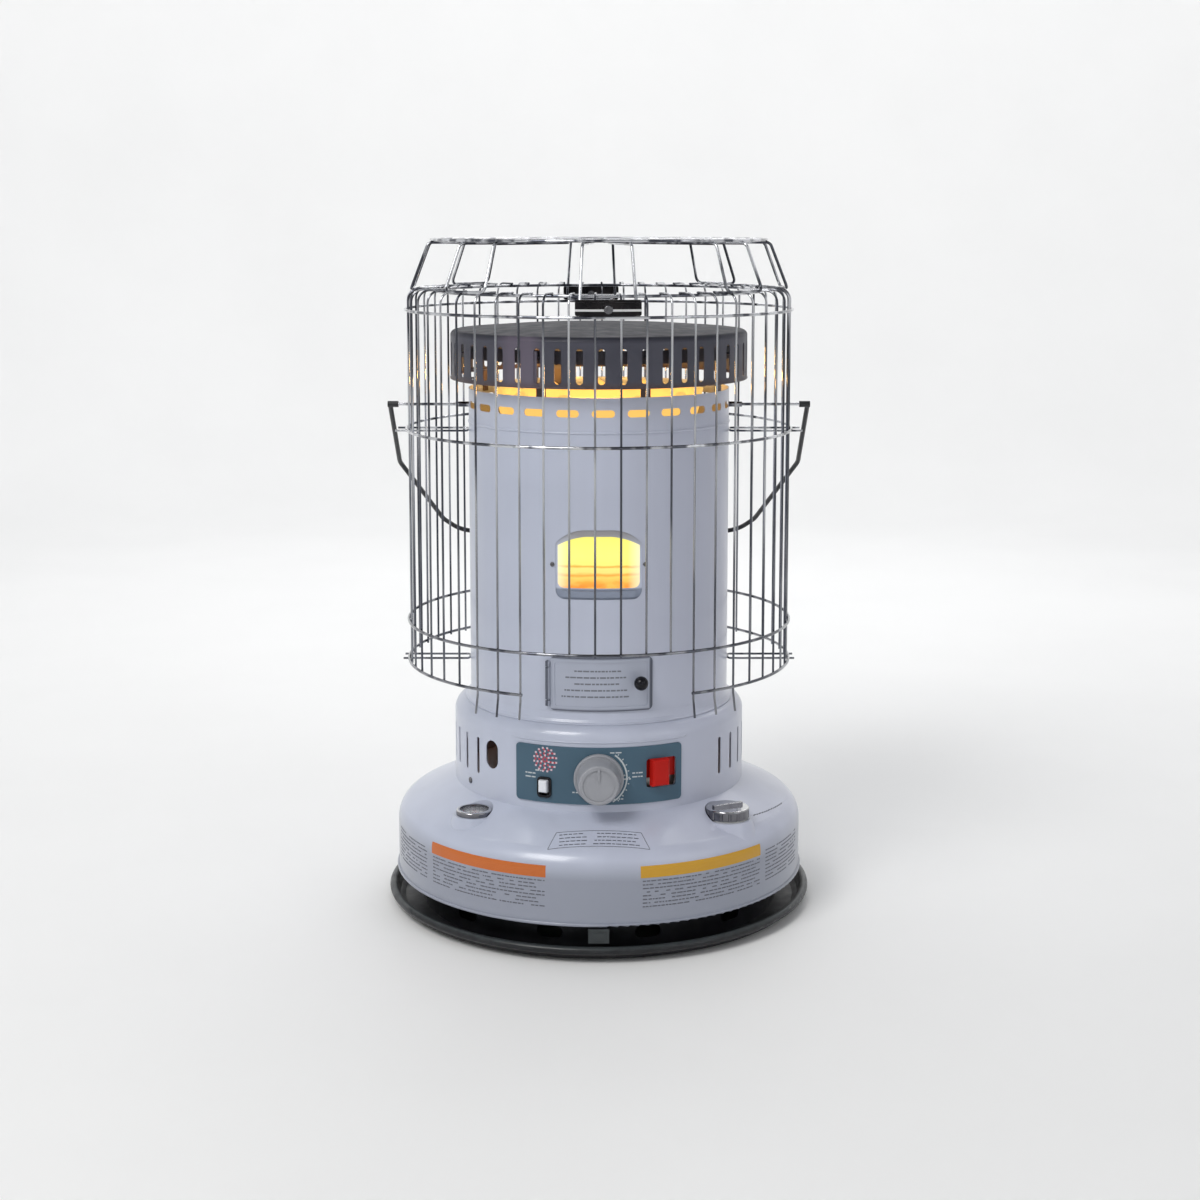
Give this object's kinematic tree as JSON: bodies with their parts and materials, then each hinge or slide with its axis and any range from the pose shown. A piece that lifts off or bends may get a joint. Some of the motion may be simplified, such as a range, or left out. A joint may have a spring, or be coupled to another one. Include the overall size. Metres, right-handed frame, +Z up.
{
  "type": "kerosene heater",
  "caption": "Portable round wick heater: drip tray, fuel tank, vented drum with window, slotted crown, wire guard and bail handle.",
  "frame": {"origin": "centre of the underside of the drip tray", "axes": "+Z up along the heater's axis; the control panel and window face -Y, +X is to the right seen from the front"},
  "size_m": [0.44, 0.44, 0.6845],
  "materials": {
    "tray_black": "satin black enamel",
    "body_paint": "satin pale blue-grey baked paint",
    "zinc_plate": "dull zinc plating",
    "cork_seal": "soft seal",
    "chrome_trim": "bright chrome",
    "dial_white": "printed dial plate",
    "signal_red": "moulded red plastic",
    "clear_lens": "clear moulded lens",
    "wick_fibre": "woven glass fibre and cotton",
    "knob_plastic": "moulded pale grey plastic",
    "switch_plastic": "moulded white plastic",
    "heat_steel": "heat-tinted steel",
    "knob_black": "black phenolic",
    "panel_paint": "satin slate blue paint",
    "cast_weight": "bare cast iron",
    "battery_wrap": "wrapped dry cell",
    "sill_steel": "brushed steel",
    "mica_pane": "mica lit from behind",
    "screw_steel": "bright plated screw",
    "door_paint": "satin pale grey plate",
    "crown_enamel": "dark charcoal heat-proof enamel",
    "guard_chrome": "chrome-plated wire",
    "clamp_steel": "dark plated steel",
    "handle_wire": "dark coated wire"
  },
  "bodies": {
    "frame": {"drip_tray": "tray_black", "tray_clips": "tray_black", "tank_base_ring": "tray_black", "tank_shell": "body_paint", "tank_bottom": "body_paint", "filler_neck": "zinc_plate", "gauge_housing": "chrome_trim", "gauge_dial": "dial_white", "gauge_lens": "clear_lens", "draft_tube": "zinc_plate", "burner_base": "zinc_plate", "burner_wing_nuts": "zinc_plate", "adjuster_housing": "zinc_plate", "cabinet_skirt": "body_paint", "control_panel": "panel_paint", "inner_brackets": "zinc_plate", "shutoff_bezel": "knob_black", "battery_case": "knob_black", "batteries": "battery_wrap", "battery_hinge": "zinc_plate", "drum_shell": "body_paint", "window_frame": "sill_steel", "window_pane": "mica_pane", "window_screws": "screw_steel", "door_hinge_pin": "door_paint", "crown_skirt": "crown_enamel", "crown_top": "crown_enamel", "crown_brackets": "crown_enamel", "guard_wires": "guard_chrome", "guard_gap_wires": "guard_chrome", "guard_upper_rings": "guard_chrome", "guard_ring_2": "guard_chrome", "guard_ring_3": "guard_chrome", "guard_ring_4": "guard_chrome", "guard_standoffs": "guard_chrome", "guard_clamps": "clamp_steel", "clamp_screws": "screw_steel", "top_guard_rings": "guard_chrome", "top_guard_loops": "guard_chrome", "handle_pivots": "guard_chrome"},
    "wick_control": {"control_knob": "knob_plastic", "adjuster_shaft": "zinc_plate"},
    "wick_lift": {"wick_holder": "zinc_plate", "wick": "wick_fibre"},
    "igniter_button": {"igniter_lever": "signal_red"},
    "igniter_coil": {"igniter_arm": "zinc_plate"},
    "shutoff_button": {"shutoff_lever": "switch_plastic"},
    "tip_over_bob": {"tip_over_weight": "cast_weight"},
    "door": {"access_door": "door_paint", "door_knob": "knob_black"},
    "handle": {"bail_handle": "handle_wire"},
    "cap_lift": {"cap_gasket": "cork_seal"},
    "cap": {"fuel_cap": "chrome_trim"},
    "needle": {"gauge_needle": "signal_red"},
    "float": {"float_arm": "zinc_plate"},
    "battery_door": {"battery_cover": "body_paint"},
    "burner": {"outer_flame_tube": "heat_steel", "inner_flame_tube": "heat_steel", "flame_spreader": "heat_steel", "burner_knob": "knob_black"}
  },
  "joints": [
    {"name": "wick_knob_turn", "type": "hinge", "parent": "frame", "child": "wick_control", "pos_m": [0, -0.1, 0.163], "axis": [0, 1, 0], "range_deg": [-100, 0]},
    {"name": "wick_raise", "type": "slide", "parent": "frame", "child": "wick_lift", "axis": [0, 0, 1], "range_m": [-0.0168, 0]},
    {"name": "igniter_press", "type": "slide", "parent": "frame", "child": "igniter_button", "axis": [0, 0, -1], "range_m": [0, 0.014], "stiffness_N_per_m": 120, "springref_m": -0.01},
    {"name": "igniter_reach", "type": "slide", "parent": "frame", "child": "igniter_coil", "axis": [-0.4067, 0.9135, 0], "range_m": [0, 0.0202]},
    {"name": "shutoff_press", "type": "slide", "parent": "frame", "child": "shutoff_button", "axis": [0, 0, -1], "range_m": [0, 0.0032], "stiffness_N_per_m": 120, "springref_m": -0.008},
    {"name": "tip_over_swing", "type": "hinge", "parent": "frame", "child": "tip_over_bob", "pos_m": [0.08038, 0.0628, 0.192], "axis": [0.788, 0.6157, 0], "range_deg": [-8, 8]},
    {"name": "access_door_swing", "type": "hinge", "parent": "frame", "child": "door", "pos_m": [-0.05025, -0.12691, 0.25], "axis": [0, 0, -1], "range_deg": [0, 95]},
    {"name": "handle_swing", "type": "hinge", "parent": "frame", "child": "handle", "pos_m": [0, 0, 0.515], "axis": [1, 0, 0], "range_deg": [0, 256]},
    {"name": "cap_lift_off", "type": "slide", "parent": "frame", "child": "cap_lift", "axis": [0, 0, 1], "range_m": [0, 0.03]},
    {"name": "cap_turn", "type": "hinge", "parent": "cap_lift", "child": "cap", "pos_m": [0.12775, -0.12208, 0.12], "axis": [0, 0, 1], "continuous": true},
    {"name": "float_swing", "type": "hinge", "parent": "frame", "child": "float", "pos_m": [-0.12378, -0.1187, 0.071], "axis": [0.6921, -0.7218, 0], "range_deg": [-18, 18]},
    {"name": "needle_turn", "type": "hinge", "parent": "frame", "child": "needle", "pos_m": [-0.12378, -0.1187, 0.118], "axis": [0, 0, 1], "range_deg": [-60, 60]},
    {"name": "battery_door_swing", "type": "hinge", "parent": "frame", "child": "battery_door", "pos_m": [0.04081, 0.14715, 0.166], "axis": [0, 0, -1], "range_deg": [0, 100]},
    {"name": "burner_seat_turn", "type": "hinge", "parent": "frame", "child": "burner", "pos_m": [0, 0, 0.2], "axis": [0, 0, 1], "range_deg": [-5, 5]}
  ],
  "couplings": [
    {"joint": "wick_raise", "follows": "wick_knob_turn", "m_per_rad": 0.0095},
    {"joint": "igniter_reach", "follows": "igniter_press", "ratio": 1.4},
    {"joint": "needle_turn", "follows": "float_swing", "ratio": 3}
  ]
}
